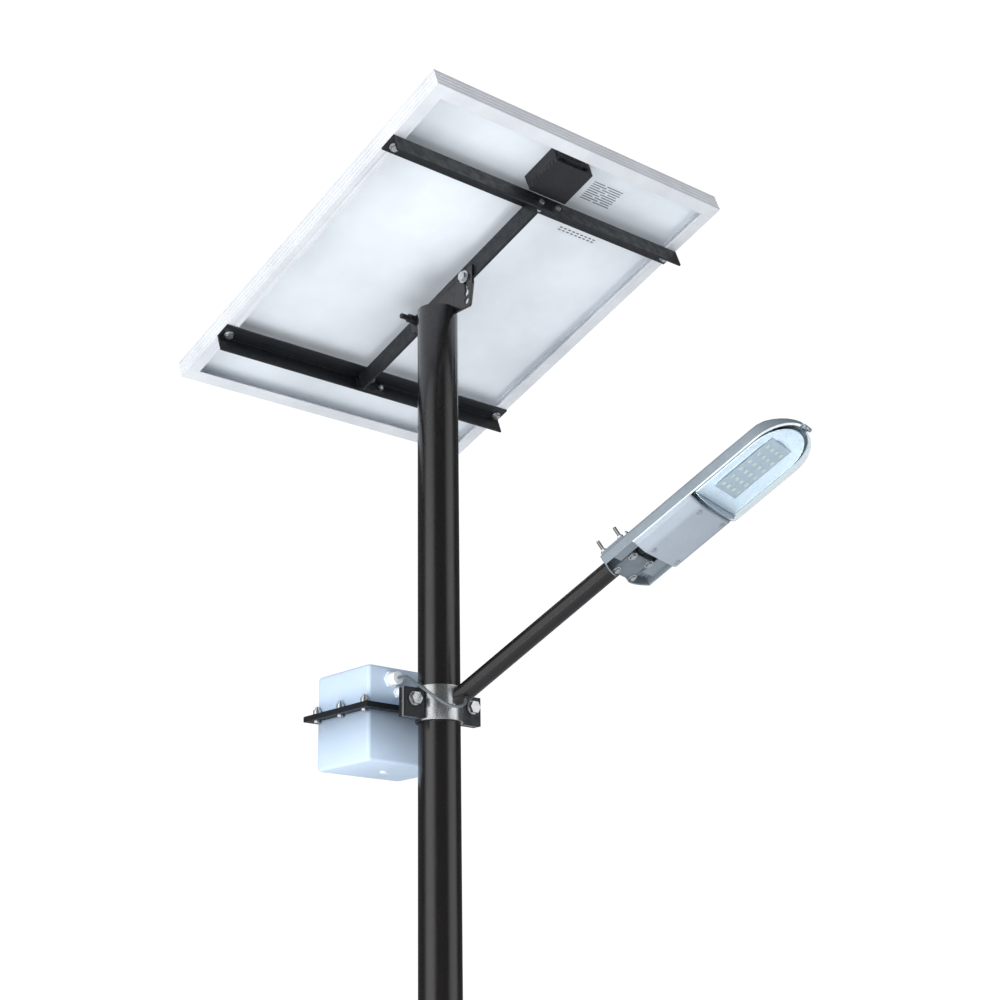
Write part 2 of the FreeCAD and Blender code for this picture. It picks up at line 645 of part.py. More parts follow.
def box_cradle():
    """Angle frame under and round the box's flange, and two bars that join it to the rear band."""
    half = "(box_wide / 2 + 0.3)"
    out = "(box_wide / 2 + box_flange + 0.3)"
    near = "(box_near - 0.3)"
    far = "(box_near + box_deep + 0.3)"
    out_near = "(box_near - box_flange - 0.3)"
    out_far = "(box_near + box_deep + box_flange + 0.3)"
    low = "(box_split - flange_plate - cradle_thick)"
    thick = "cradle_thick"
    tall = "cradle_tall"
    ledge = cut(block("-" + out, out_near, low, "2 * " + out, "%s - %s" % (out_far, out_near), thick),
                block("-" + half, near, low, "2 * " + half, "%s - %s" % (far, near), thick))
    rim = cut(block("-%s - %s" % (out, thick), "%s - %s" % (out_near, thick), low,
                    "2 * %s + 2 * %s" % (out, thick),
                    "%s - %s + 2 * %s" % (out_far, out_near, thick), tall),
              block("-" + out, out_near, low, "2 * " + out, "%s - %s" % (out_far, out_near), tall))
    holes = [rod(x, y, low + " - 1", 3, 5) for x, y in box_bolt_places()]
    members = [cut(fuse(ledge, rim), *holes)]
    for x in (-25, 20):
        bar = block(x, 30, low + " - 9", 5, "%s - %s - 30" % (out_near, thick), 22)
        members.append(cut(bar, rod(0, 0, "band_low", "band_outer", "band_height")))
    finish("box_cradle", group(members))


def tray(low, high, floor_low):
    """A shell's outer block and its hollow; the hollow starts at floor_low."""
    outer = block("-box_wide / 2", "box_near", low, "box_wide", "box_deep", "%s - (%s)" % (high, low))
    inner = block("-box_wide / 2 + box_wall", "box_near + box_wall", floor_low,
                  "box_wide - 2 * box_wall", "box_deep - 2 * box_wall",
                  "%s - (%s) - box_wall" % (high, low))
    return outer, inner


def flange(low, thick):
    return block("-box_wide / 2 - box_flange", "box_near - box_flange", low,
                 "box_wide + 2 * box_flange", "box_deep + 2 * box_flange", thick)


def bolt_holes():
    return [rod(x, y, "box_split - 6", 3, 14) for x, y in box_bolt_places()]


def battery_box():
    tub, tub_space = tray("box_low", "box_split", "box_low + box_wall")
    tub_flange = flange("box_split - flange_plate", "flange_plate")
    drain = rod(0, "box_near + box_deep / 2", "box_low - 1", 4, 6)
    finish("box_shell", cut(fuse(tub, tub_flange), tub_space, drain, *bolt_holes()))

    lid_low = "(box_split + seal_thick)"
    lid, lid_space = tray(lid_low, "box_high", lid_low)
    gland_holes = [rod(x, "box_near - 1", z, radius, "box_wall + 2", ALONG_Y)
                   for x, z, radius, flats in GLANDS]
    lid_body = fuse(lid, flange(lid_low, "flange_plate"))
    finish("box_lid", cut(lid_body, lid_space, *bolt_holes(), *gland_holes))

    opening = block("-box_wide / 2 + box_wall", "box_near + box_wall", "box_split - 1",
                    "box_wide - 2 * box_wall", "box_deep - 2 * box_wall", 3)
    finish("box_gasket", cut(flange("box_split", "seal_thick"), opening, *bolt_holes()))


def box_fixings():
    """Flange bolts with round thumb nuts above the lid's flange."""
    bolts = []
    nuts = []
    under = "(box_split - flange_plate - cradle_thick)"
    over = "(box_split + seal_thick + flange_plate)"
    for x, y in box_bolt_places():
        bolts.append(hex_bolt(x, y, under, 6, "%s - %s + 15" % (over, under), 4))
        knob = fuse(rod(x, y, over, 7, 9), rod(x, y, over + " + 9", 4.5, 2.5))
        nuts.append(cut(knob, rod(x, y, over, 3, 12)))
    finish("box_bolts", group(bolts))
    finish("box_nuts", group(nuts))


def box_glands():
    glands = []
    for x, z, bore, size in GLANDS:
        flats = nut_prism(x, "box_near - 5", z, size, 5, ALONG_Y)
        dome_length = size * 0.65
        dome = rod(x, "box_near - 5 - %s" % dome_length, z, size * 0.42, dome_length, ALONG_Y)
        thread = rod(x, "box_near", z, bore, "box_wall + 8", ALONG_Y)
        ring_nut = nut_prism(x, "box_near + box_wall", z, size, 4, ALONG_Y)
        path = rod(x, "box_near - 40", z, "cable_dia / 2", 70, ALONG_Y)
        glands.append(cut(fuse(flats, dome, thread, ring_nut), path))
    middle = "box_near + box_deep / 2"
    plug = fuse(rod(0, middle, "box_low - 3", 7, 3), rod(0, middle, "box_low", 4, "box_wall"))
    finish("box_glands", group(glands + [plug]))


def box_contents():
    case = block(-78, "box_near + 12", "box_low + box_wall + 1", 156, 124, 82)
    posts = [rod(x, "box_near + 28", "box_low + box_wall + 83", 6, 10) for x in (-58, 58)]
    finish("battery_pack", fuse(case, *posts))
    shell = block(-50, "box_near + 50", "box_high - box_wall - 26", 120, 66, 26)
    strip = block(-44, "box_near + 54", "box_high - box_wall - 36", 108, 18, 10)
    finish("charge_controller", fuse(shell, strip))


# ---------------------------------------------------------------- arm and cable

def arm_point(along, across, height):
    return ARM.multVec(V(along, across, height))


def grommet_way():
    """Outward direction of the cable hole in the arm's lower side."""
    turn = math.radians(num("grommet_turn"))
    return ARM.Rotation.multVec(V(0, -math.sin(turn), -math.cos(turn)))


def arm_tube():
    run = FreeCAD.Placement(ARM.Base, ARM.Rotation.multiply(ALONG_X))
    outer = doc.addObject("Part::Cylinder", "arm_outer")
    bind(outer, Radius="arm_od / 2", Height="arm_end")
    outer.Placement = run
    inner = doc.addObject("Part::Cylinder", "arm_bore")
    bind(inner, Radius="arm_od / 2 - arm_wall", Height="arm_end + 5")
    inner.Placement = run
    saddle = rod(0, 0, 2150, "band_outer", 260)
    hole = doc.addObject("Part::Cylinder", "cable_hole")
    bind(hole, Radius="cable_dia / 2 + 2.5", Height="arm_od / 2 + 6")
    way = grommet_way()
    middle = arm_point(num("grommet_s"), 0, 0)
    hole.Placement = FreeCAD.Placement(middle, FreeCAD.Rotation(Z_AXIS, way))
    finish("arm_tube", cut(outer, inner, saddle, hole))

    outside = num("arm_od / 2")
    inside = num("arm_od / 2 - arm_wall")
    facing = FreeCAD.Rotation(Z_AXIS, way)
    body = doc.addObject("Part::Cylinder", "grommet_neck")
    bind(body, Radius="cable_dia / 2 + 2.3", Height="arm_wall + 3.6")
    body.Placement = FreeCAD.Placement(middle + way * (inside - 1.5), facing)
    lip = doc.addObject("Part::Cylinder", "grommet_lip")
    bind(lip, Radius="cable_dia / 2 + 4", Height="1.8")
    lip.Placement = FreeCAD.Placement(middle + way * (outside + 0.3), facing)
    path = doc.addObject("Part::Cylinder", "grommet_path")
    bind(path, Radius="cable_dia / 2", Height="30")
    path.Placement = FreeCAD.Placement(middle, facing)
    finish("arm_grommet", cut(fuse(body, lip), path))

    lead = rod("grommet_s + 6", 0, 0, "cable_dia / 2", "arm_end - grommet_s - 10", ALONG_X)
    finish("lamp_lead", lead, ARM)


# From inside the gland's dome to the grommet in the arm's lower side.
CABLE_ROUTE = [
    (-44.0, 60.0, 2320.0), (-44.0, 46.0, 2320.0), (-47.0, 31.0, 2317.3), (-52.0, 14.0, 2309.6),
    (-54.5, -4.5, 2298.3), (-52.3, -23.0, 2285.8), (-47.0, -40.0, 2272.8),
    (-41.0, -54.5, 2261.4), (-33.0, -64.6, 2253.9), (-22.4, -68.9, 2251.8),
    (-10.7, -69.6, 2253.9), (-0.5, -67.4, 2258.9), (6.7, -62.9, 2265.8),
]


def cable_wire(points):
    """Straight runs joined by tangent arcs."""
    edges = []
    start = points[0]
    for before, corner, after in zip(points, points[1:], points[2:]):
        into = (corner - before).normalize()
        out = (after - corner).normalize()
        half = into.getAngle(out) / 2
        shorter = min((corner - before).Length, (after - corner).Length)
        setback = 0.45 * shorter
        radius = setback / math.tan(half)
        first = corner - into * setback
        last = corner + out * setback
        bisector = (out - into).normalize()
        middle = corner + bisector * (radius / math.cos(half) - radius)
        edges.append(Part.LineSegment(start, first).toShape())
        edges.append(Part.Arc(first, middle, last).toShape())
        start = last
        print("cable arc radius %.1f, turn %.0f" % (radius, math.degrees(2 * half)))
    edges.append(Part.LineSegment(start, points[-1]).toShape())
    return Part.Wire(edges)


def lamp_cable():
    radius = num("cable_dia / 2")
    points = [V(*point) for point in CABLE_ROUTE]
    way = grommet_way()
    points.append(arm_point(num("grommet_s"), 0, 0) + way * num("arm_od / 2 - arm_wall"))
    path = cable_wire(points)
    section = Part.Wire(Part.Circle(points[0], points[1] - points[0], radius).toShape())
    tube = path.makePipeShell([section], True, False)
    expected = math.pi * radius ** 2 * path.Length
    print("cable length %.1f, volume ratio %.4f" % (path.Length, tube.Volume / expected))
    cable = doc.addObject("Part::Feature", "lamp_cable")
    cable.Shape = tube
    finish("lamp_cable", cable)


# ---------------------------------------------------------------- luminaire

def nose_prism(rear, start, half, reach, low, tall):
    """Plan shape with a straight rear and an elliptical nose, raised by a height."""
    straight = block(rear, "-(%s)" % half, low, "%s - (%s)" % (start, rear), "2 * (%s)" % half, tall)
    curve = doc.addObject("Part::Ellipse", "nose_curve")
    bind(curve, MajorRadius=half, MinorRadius=reach)
    curve.Placement = at(start, 0, low, Z_AXIS, 90)
    nose = doc.addObject("Part::Extrusion", "nose")
    nose.Base = curve
    nose.DirMode = "Custom"
    nose.Dir = Z_AXIS
    nose.Solid = True
    bind(nose, LengthFwd=tall)
    return fuse(straight, nose)


def canopy_body(inset, low):
    """Outside or inside shape of the canopy: plan outline under two crossed barrel curves."""
    front = nose_prism("lamp_rear", "nose_start", "lamp_half - %s" % inset,
                       "nose_reach - %s" % inset, low, "crown + 40")
    tail = new_body()
    plan = new_sketch(tail, "XY_Plane", low)
    end = "tail_end + %s" % inset
    narrow = "tail_half"
    wide = "lamp_half - %s" % inset
    outline(plan, [(end, "-" + narrow), ("lamp_rear", "-(%s)" % wide), ("lamp_rear", wide),
                   (end, narrow)])
    pad(tail, plan, "crown + 40")
    roof = rod("tail_end - 60", 0, "crown - crown_r", "crown_r - %s" % inset, 500, ALONG_X)
    spine = rod("spine_s", -120, "crown - spine_r", "spine_r - %s" % inset, 240, ALONG_Y)
    return common(fuse(front, tail), roof, spine)


def lamp_canopy():
    shell = cut(canopy_body("0", "rim"), canopy_body("canopy_wall", "rim - 5"))
    boss = block("tail_end + 3", "-saddle_half", 2, "saddle_end - tail_end - 3",
                 "2 * saddle_half", 14)
    hood = rod("tail_end", 0, 0, "arm_od / 2 + 5", 66, ALONG_X)
    upper = block("tail_end - 5", -60, -2, 80, 120, 60)
    bulkhead = common(block("cover_from - 3", -77, "rim", 3, 154, 60),
                      canopy_body("canopy_wall / 2", "rim"))
    doorway = block("tail_end - 5", "-saddle_half - 2", "rim - 5", "saddle_end - tail_end + 10",
                    "2 * saddle_half + 4", "2 - rim + 5")
    socket = rod("tail_end - 5", 0, 0, "arm_od / 2 + 0.3", 71, ALONG_X)
    bores = [rod(s, w, -10, 3, 60) for s, w in saddle_bolt_places()]
    knuckles = []
    for start in (-12.3, 6.3):
        knuckle = rod("bowl_axis_s", start, "bowl_axis_h", "hinge_r", 6, ALONG_Y)
        root = block("bowl_axis_s - 4", start, "bowl_axis_h", 5, 6, "rim - bowl_axis_h + 3")
        knuckles.append(fuse(knuckle, root))
    pin_hole = rod("bowl_axis_s", -13, "bowl_axis_h", "hinge_pin / 2", 26, ALONG_Y)
    spigot = fuse(boss, common(hood, upper), bulkhead)
    canopy = cut(fuse(shell, spigot, *knuckles), socket, doorway, pin_hole, *bores)
    finish("lamp_canopy", canopy, ARM)
    pin = rod("bowl_axis_s", -12.3, "bowl_axis_h", "hinge_pin / 2", 24.6, ALONG_Y)
    finish("bowl_hinge_pin", pin, ARM)


def saddle_bolt_places():
    return [(s, w) for s in (408, 444) for w in (-28, 28)]


def lamp_fixings():
    saddle = block("tail_end + 2", "-saddle_half", -22, "saddle_end - tail_end - 2",
                   "2 * saddle_half", 16)
    seat = rod(395, 0, 0, "arm_od / 2 + 0.3", 62, ALONG_X)
    holes = [rod(s, w, -30, 3, 30) for s, w in saddle_bolt_places()]
    finish("lamp_saddle", cut(saddle, seat, *holes), ARM)
    fixings = []
    for s, w in saddle_bolt_places():
        fixings.append(hex_bolt(s, w, -22, 6, 62, 4))
        fixings.append(nut(s, w, 16, 6, 5))
    finish("saddle_fasteners", group(fixings), ARM)


def lamp_gasket():
    outer = nose_prism("cover_from", "nose_start", "lamp_half", "nose_reach", "rim - 1", 1)
    inner = nose_prism("cover_from + 4", "nose_start", "lamp_half - 4", "nose_reach - 4",
                       "rim - 2", 3)
    hinge_gap = block("nose_start + nose_reach - 9", -13.5, "rim - 2", 12, 27, 3)
    finish("lamp_gasket", cut(outer, inner, hinge_gap), ARM)


def gear_cover():
    """Hollow cover over the gear compartment, open towards the canopy."""
    def trough(inset, top):
        body = new_body()
        section = new_sketch(body, "YZ_Plane", "cover_from + %s" % inset)
        half = "(cover_half - %s)" % inset
        flat = "(cover_flat - %s)" % inset
        low = "(cover_low + %s)" % inset
        outline(section, [("-" + half, top), ("-" + half, "rim - 1 - %s" % "5"),
                          ("-" + flat, low), (flat, low), (half, "rim - 1 - %s" % "5"),
                          (half, top)])
        pad(body, section, "cover_to - cover_from - 2 * %s" % inset)
        return body
    outer = trough("0", "rim - 1")
    inner = trough("2", "rim")
    places = [(s, w) for s in ("cover_from + 12", "cover_to - 12") for w in (-42, 42)]
    holes = [rod(s, w, "cover_low - 1", 2, 4) for s, w in places]
    finish("gear_cover", cut(outer, inner, *holes), ARM)
    screws = [fuse(rod(s, w, "cover_low - 1.6", 4.5, 1.6), rod(s, w, "cover_low", 2, 12))
              for s, w in places]
    finish("cover_screws", group(screws), ARM)


def lamp_inside():
    plate = nose_prism(604, "nose_start - 6", 62, 44, "rim + 3", 1.5)
    finish("reflector", plate, ARM)
    finish("led_board", block(622, -38, "rim + 1.4", 118, 76, 1.6), ARM)
    chips = []
    for line in range(6):
        for place in range(4):
            chips.append(block(631 + 18 * line, -31 + 18 * place, "rim + 0.6", 7, 7, 0.8))
    finish("led_chips", group(chips), ARM)
    driver = block(486, -30, -26, 84, 60, 26)
    terminals = block(496, 34, -24, 40, 14, 12)
    finish("led_driver", group([driver, terminals]), ARM)


def bowl_body(inset, top):
    """Outside or inside of the bowl: plan outline over crossed elliptical curves."""
    half = "(bowl_half - %s)" % inset
    deep = "(bowl_deep - %s)" % inset
    rear = "bowl_from + %s" % inset
    reach = "(bowl_nose - %s)" % inset
    plan = nose_prism(rear, "nose_start", half, reach, "-70", "70 + (%s)" % top)
    trough = doc.addObject("Part::Ellipse", "trough_curve")
    bind(trough, MajorRadius=half, MinorRadius=deep)
    trough.Placement = FreeCAD.Placement(V(num(rear), 0, num("bowl_top")),
                                         FreeCAD.Rotation(V(0, 1, 0), V(0, 0, 1), V(1, 0, 0), "ZXY"))
    section = doc.addObject("Part::Extrusion", "trough")
    section.Base = trough
    section.DirMode = "Custom"
    section.Dir = V(1, 0, 0)
    section.Solid = True
    bind(section, LengthFwd=220)
    side = doc.addObject("Part::Ellipse", "side_curve")
    bind(side, MajorRadius=reach, MinorRadius=deep)
    side.Placement = FreeCAD.Placement(V(num("nose_start"), -100, num("bowl_top")),
                                       FreeCAD.Rotation(V(1, 0, 0), 90))
    nose = doc.addObject("Part::Extrusion", "nose_side")
    nose.Base = side
    nose.DirMode = "Custom"
    nose.Dir = V(0, 1, 0)
    nose.Solid = True
    bind(nose, LengthFwd=200)
    straight = block(rear, -100, "bowl_top - %s" % deep, "nose_start - (%s)" % rear, 200, 60)
    return common(plan, section, fuse(nose, straight))


def bowl_lens():
    shell = cut(bowl_body("0", "bowl_top"), bowl_body("bowl_wall", "bowl_top + 5"))
    knuckle = rod("bowl_axis_s", -6, "bowl_axis_h", "hinge_r", 12, ALONG_Y)
    tongue = block("bowl_axis_s - 8", -6, "bowl_axis_h - 2", 7, 12, 3)
    bore = rod("bowl_axis_s", -7, "bowl_axis_h", "hinge_pin / 2 + running_gap", 14, ALONG_Y)
    finish("bowl_lens", cut(fuse(shell, knuckle, tongue), bore), ARM)
    clips = [block("bowl_from + bowl_wall + 0.4", w, "bowl_top - 8", 1, 12, 12) for w in (-40, 28)]
    finish("bowl_clips", group(clips), ARM)


for build in (base_plate, base_ribs, pole_tube, pole_cap, tilt_gusset, pivot_fixing, frame_rails,
              corner_keys, laminate_layers, junction_box, rating_labels, centre_rail, rail_cleats,
              rail_fixings, lock_fixing, clamp, box_cradle, battery_box, box_fixings, box_glands,
              box_contents, arm_tube, lamp_cable, lamp_canopy, lamp_fixings, lamp_gasket,
              gear_cover, lamp_inside, bowl_lens):
    build()
angle_rail("cross_rail_upper", "rail_upper", 1)
angle_rail("cross_rail_lower", "rail_lower", -1)
doc.recompute()

for thing in doc.Objects:
    if "Invalid" in thing.State or "Error" in thing.State:
        raise RuntimeError("%s (%s) failed: %s" % (thing.Name, thing.Label, thing.State))
for name, thing in NODES.items():
    if thing.Shape.isNull() or not thing.Shape.isValid():
        raise RuntimeError("%s has no valid shape" % name)

os.makedirs("parts", exist_ok=True)
for name, thing in NODES.items():
    thing.Shape.exportStep("parts/%s.step" % name)
print("%d nodes" % len(NODES))
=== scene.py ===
import json
import math

import bmesh
import bpy
from mathutils import Matrix, Vector


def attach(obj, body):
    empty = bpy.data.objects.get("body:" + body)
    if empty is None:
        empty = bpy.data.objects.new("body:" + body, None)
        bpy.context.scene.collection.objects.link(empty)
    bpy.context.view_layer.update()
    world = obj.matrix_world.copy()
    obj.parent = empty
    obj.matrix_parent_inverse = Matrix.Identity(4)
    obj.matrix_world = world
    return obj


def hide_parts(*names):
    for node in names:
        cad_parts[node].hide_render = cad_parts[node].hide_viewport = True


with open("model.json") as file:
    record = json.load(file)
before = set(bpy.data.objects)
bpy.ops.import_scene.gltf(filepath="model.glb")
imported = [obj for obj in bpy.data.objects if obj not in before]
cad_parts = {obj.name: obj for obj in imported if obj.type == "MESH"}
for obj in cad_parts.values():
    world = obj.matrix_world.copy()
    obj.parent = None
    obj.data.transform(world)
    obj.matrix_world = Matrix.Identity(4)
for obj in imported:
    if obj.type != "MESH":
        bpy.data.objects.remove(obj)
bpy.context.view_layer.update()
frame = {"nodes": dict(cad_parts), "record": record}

NODES = frame["nodes"]
MM = 0.001

# ---------------------------------------------------------------- directions of the parts


def matrix(origin, x_axis, y_axis, z_axis):
    """A frame given in millimetres, as a matrix that yields metres."""
    rows = [[x_axis[i], y_axis[i], z_axis[i], origin[i]] for i in range(3)]
    return Matrix.Scale(MM, 4) @ Matrix(rows + [[0, 0, 0, 1]])


def turned(azimuth, slope):
    """Along, across and up directions of something that rises at a slope."""
    a, e = math.radians(azimuth), math.radians(slope)
    along = Vector((math.cos(a) * math.cos(e), math.sin(a) * math.cos(e), math.sin(e)))
    across = Vector((-math.sin(a), math.cos(a), 0))
    return along, across, along.cross(across)


TILT = math.radians(20)
ROW = Matrix.Scale(MM, 4)
PANEL = matrix((41.4, 13.1, 3052.7), (1, 0, 0), (0, math.cos(TILT), -math.sin(TILT)),
               (0, math.sin(TILT), math.cos(TILT)))
LAMP = matrix((0, 0, 2253), *turned(-73, 30.7))

# ---------------------------------------------------------------- camera

CAMERA_PLACE = (-1.9043, -2.2879, 1.6562)
CAMERA_YAW = math.radians(-41.87)
CAMERA_PITCH = math.radians(18.2)
CAMERA_ROLL = math.radians(-0.9)
CAMERA_LENS = 63.80
SENSOR_WIDTH = 36.0


def place_camera():
    """A camera below the panel that looks up at it, turned a little about its own axis."""
    forward = Vector((-math.sin(CAMERA_YAW) * math.cos(CAMERA_PITCH),
                      math.cos(CAMERA_YAW) * math.cos(CAMERA_PITCH), math.sin(CAMERA_PITCH)))
    level = Vector((math.cos(CAMERA_YAW), math.sin(CAMERA_YAW), 0))
    upright = level.cross(forward)
    right = level * math.cos(CAMERA_ROLL) + upright * math.sin(CAMERA_ROLL)
    up = upright * math.cos(CAMERA_ROLL) - level * math.sin(CAMERA_ROLL)
    camera = bpy.data.objects.new("camera", bpy.data.cameras.new("camera"))
    bpy.context.scene.collection.objects.link(camera)
    camera.data.lens = CAMERA_LENS
    camera.data.sensor_width = SENSOR_WIDTH
    camera.matrix_world = Matrix([[right[i], up[i], -forward[i], CAMERA_PLACE[i]]
                                  for i in range(3)] + [[0, 0, 0, 1]])
    bpy.context.scene.camera = camera


place_camera()

# ---------------------------------------------------------------- materials


def srgb(red, green, blue):
    """Linear colour from 0-255 display values."""
    def linear(value):
        value /= 255
        return value / 12.92 if value <= 0.04045 else ((value + 0.055) / 1.055) ** 2.4
    return (linear(red), linear(green), linear(blue), 1)


def shade(colour, factor):
    """The same colour, lighter or darker."""
    return tuple(min(1, channel * factor) for channel in colour[:3]) + (1,)


class Paint:
    """One material: two scales of colour variation, uneven roughness and a fine bump."""

    def __init__(self, name, colour, rough, metal=0.0, vary=0.08, grain=9.0, fine=260.0,
                 bump=0.06, stretch=(1, 1, 1)):
        self.material = bpy.data.materials.new(name)
        self.material.use_nodes = True
        self.tree = self.material.node_tree
        self.shader = self.tree.nodes["Principled BSDF"]
        self.where = self.add("ShaderNodeTexCoord").outputs["Object"]
        stretched = self.add("ShaderNodeMapping")
        stretched.inputs["Scale"].default_value = stretch
        self.link(self.where, stretched.inputs["Vector"])
        self.place = stretched.outputs["Vector"]
        broad = self.noise(grain, 3.0)
        close = self.noise(grain * 9, 2.0)
        first = self.mix(broad, shade(colour, 1 - vary), shade(colour, 1 + vary))
        self.colour = self.mix_colours(close, first, shade(colour, 1 - vary * 0.6), 0.45)
        self.link(self.colour, self.shader.inputs["Base Color"])
        spread = self.add("ShaderNodeMapRange")
        spread.inputs["From Min"].default_value = 0.3
        spread.inputs["From Max"].default_value = 0.7
        spread.inputs["To Min"].default_value = max(0.02, rough * 0.75)
        spread.inputs["To Max"].default_value = min(1.0, rough * 1.3)
        self.link(close, spread.inputs["Value"])
        self.link(spread.outputs["Result"], self.shader.inputs["Roughness"])
        relief = self.add("ShaderNodeBump")
        relief.inputs["Strength"].default_value = bump
        relief.inputs["Distance"].default_value = 0.001
        self.link(self.noise(fine, 4.0), relief.inputs["Height"])
        self.link(relief.outputs["Normal"], self.shader.inputs["Normal"])
        self.shader.inputs["Metallic"].default_value = metal

    def add(self, kind):
        return self.tree.nodes.new(kind)

    def link(self, source, target):
        self.tree.links.new(source, target)

    def noise(self, scale, detail):
        node = self.add("ShaderNodeTexNoise")
        node.inputs["Scale"].default_value = scale
        node.inputs["Detail"].default_value = detail
        self.link(self.place, node.inputs["Vector"])
        return node.outputs["Fac"]

    def mix(self, factor, low, high):
        """A ramp between two constant colours."""
        node = self.add("ShaderNodeValToRGB")
        node.color_ramp.elements[0].position = 0.35
        node.color_ramp.elements[1].position = 0.65
        node.color_ramp.elements[0].color = low
        node.color_ramp.elements[1].color = high
        self.link(factor, node.inputs["Fac"])
        return node.outputs["Color"]

    def mix_colours(self, factor, under, over, strength):
        """Lay a constant colour over another by a share of a factor."""
        share = self.add("ShaderNodeMath")
        share.operation = "MULTIPLY"
        share.inputs[1].default_value = strength
        self.link(factor, share.inputs[0])
        node = self.add("ShaderNodeMix")
        node.data_type = "RGBA"
        self.link(share.outputs[0], node.inputs["Factor"])
        self.link(under, node.inputs[6])
        node.inputs[7].default_value = over
        return node.outputs[2]

    def set(self, **sockets):
        """Give constants to the shader's own sockets."""
        for name, value in sockets.items():
            self.shader.inputs[name.replace("_", " ")].default_value = value
        return self


PAINTS = {
    "pole_black": Paint("pole_black", srgb(20, 18, 19), 0.24, vary=0.12, bump=0.05,
                        stretch=(1, 1, 0.25)).set(Coat_Weight=0.35, Coat_Roughness=0.12),
    "rail_black": Paint("rail_black", srgb(19, 23, 27), 0.46, vary=0.16, bump=0.08),
    "dark_steel": Paint("dark_steel", srgb(58, 58, 60), 0.4, metal=0.8, vary=0.15),
    "zinc_steel": Paint("zinc_steel", srgb(206, 208, 210), 0.3, metal=0.95, vary=0.1, grain=60),
    "galvanised": Paint("galvanised", srgb(196, 199, 201), 0.24, metal=0.95, vary=0.28, grain=45,
                        bump=0.12, stretch=(1, 1, 0.3)),
    "frame_aluminium": Paint("frame_aluminium", srgb(221, 224, 229), 0.45, metal=0.2, vary=0.07,
                             grain=14, bump=0.05),
    "panel_glass": Paint("panel_glass", srgb(226, 236, 244), 0.05, vary=0.02, bump=0.01),
    "cell_blue": Paint("cell_blue", srgb(14, 28, 88), 0.3, vary=0.25, grain=40),
    "backsheet_white": Paint("backsheet_white", srgb(226, 232, 238), 0.5, vary=0.09, grain=5,
                             fine=90, bump=0.12),
    "label_paper": Paint("label_paper", srgb(224, 229, 234), 0.6, vary=0.04, grain=60),
    "black_plastic": Paint("black_plastic", srgb(28, 30, 34), 0.45, vary=0.15, grain=40),
    "green_plastic": Paint("green_plastic", srgb(40, 140, 90), 0.4, vary=0.12, grain=60),
    "box_plastic": Paint("box_plastic", srgb(188, 206, 226), 0.38, vary=0.04, grain=10,
                         bump=0.08),
    "white_plastic": Paint("white_plastic", srgb(228, 234, 238), 0.4, vary=0.05, grain=60),
    "rubber": Paint("rubber", srgb(38, 38, 40), 0.8, vary=0.12, grain=70, bump=0.15),
    "cable_grey": Paint("cable_grey", srgb(96, 103, 108), 0.42, vary=0.07, grain=90, bump=0.08),
    "battery_case": Paint("battery_case", srgb(50, 54, 60), 0.5, vary=0.1, grain=30),
    "lamp_grey": Paint("lamp_grey", srgb(160, 169, 179), 0.4, metal=0.2, vary=0.05, grain=16,
                       fine=120, bump=0.03),
    "reflector_white": Paint("reflector_white", srgb(200, 208, 216), 0.3, vary=0.06, grain=30),
    "board": Paint("board", srgb(152, 160, 167), 0.5, vary=0.05, grain=60),
    "led_yellow": Paint("led_yellow", srgb(178, 181, 173), 0.35, vary=0.04, grain=120),
    "driver_case": Paint("driver_case", srgb(196, 200, 202), 0.4, metal=0.6, vary=0.08, grain=40),
    "clear_plastic": Paint("clear_plastic", srgb(232, 240, 244), 0.04, vary=0.02, bump=0.02),
    "arm_black": Paint("arm_black", srgb(20, 19, 20), 0.2, vary=0.12, bump=0.05),
    "canopy_cast": Paint("canopy_cast", srgb(128, 138, 146), 0.42, metal=0.2, vary=0.06,
                         grain=16, fine=120, bump=0.04),
    # The saddle's paint: a textured cast grey, made darker than the housing as painted shade of the
    # recess round the saddle bolts.
    "saddle_painted_shade": Paint("saddle_painted_shade", srgb(112, 121, 128), 0.5, metal=0.3, vary=0.12,
                         grain=50, bump=0.1),
    # The reflector plate's paint: the reflector's white darkened to grey-blue as painted shade
    # inside the bowl.
    "reflector_painted_shade": Paint("reflector_painted_shade", srgb(166, 176, 187), 0.34, vary=0.1, grain=30),
    "label_ink": Paint("label_ink", srgb(96, 104, 112), 0.6, vary=0.2, grain=150),
    "floor": Paint("floor", srgb(240, 241, 242), 0.7, vary=0.02, grain=1.5),
}
PAINTS["panel_glass"].set(Transmission_Weight=0.98, IOR=1.45)
PAINTS["clear_plastic"].set(Transmission_Weight=1.0, IOR=1.1)


def use(thing, slot, body=None, paint=None):
    """Give a piece its slot's material, or a variant of it, and a new piece its body too."""
    thing.data.materials.clear()
    thing.data.materials.append(PAINTS[paint or slot].material)
    if body:
        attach(thing, body)


# ---------------------------------------------------------------- cable

CABLE = [(-44, 60, 2320), (-44, 46, 2320), (-47, 31, 2317.3), (-52, 14, 2309.6),
         (-54.5, -4.5, 2298.3), (-52.3, -23, 2285.8), (-47, -40, 2272.8), (-41, -54.5, 2261.4),
         (-33, -64.6, 2253.9), (-22.4, -68.9, 2251.8), (-10.7, -69.6, 2253.9),
         (-0.5, -67.4, 2258.9), (6.7, -62.9, 2265.8), (10.41, -56.96, 2273.65)]
CABLE_RADIUS = 2.5


def supply_cable():
    """The cord from the battery box's upper gland to the grommet in the arm."""
    curve = bpy.data.curves.new("supply_cable", "CURVE")
    curve.dimensions = "3D"
    curve.bevel_depth = CABLE_RADIUS * MM
    curve.bevel_resolution = 5
    curve.resolution_u = 12
    route = curve.splines.new("NURBS")
    route.points.add(len(CABLE) - 1)
    for knot, point in zip(route.points, CABLE):
        knot.co = (*(value * MM for value in point), 1)
    route.order_u = 3
    route.use_endpoint_u = True
    cable = bpy.data.objects.new("supply_cable", curve)
    bpy.context.scene.collection.objects.link(cable)
    use(cable, "cable_grey", "bracket")
    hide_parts("lamp_cable")


supply_cable()

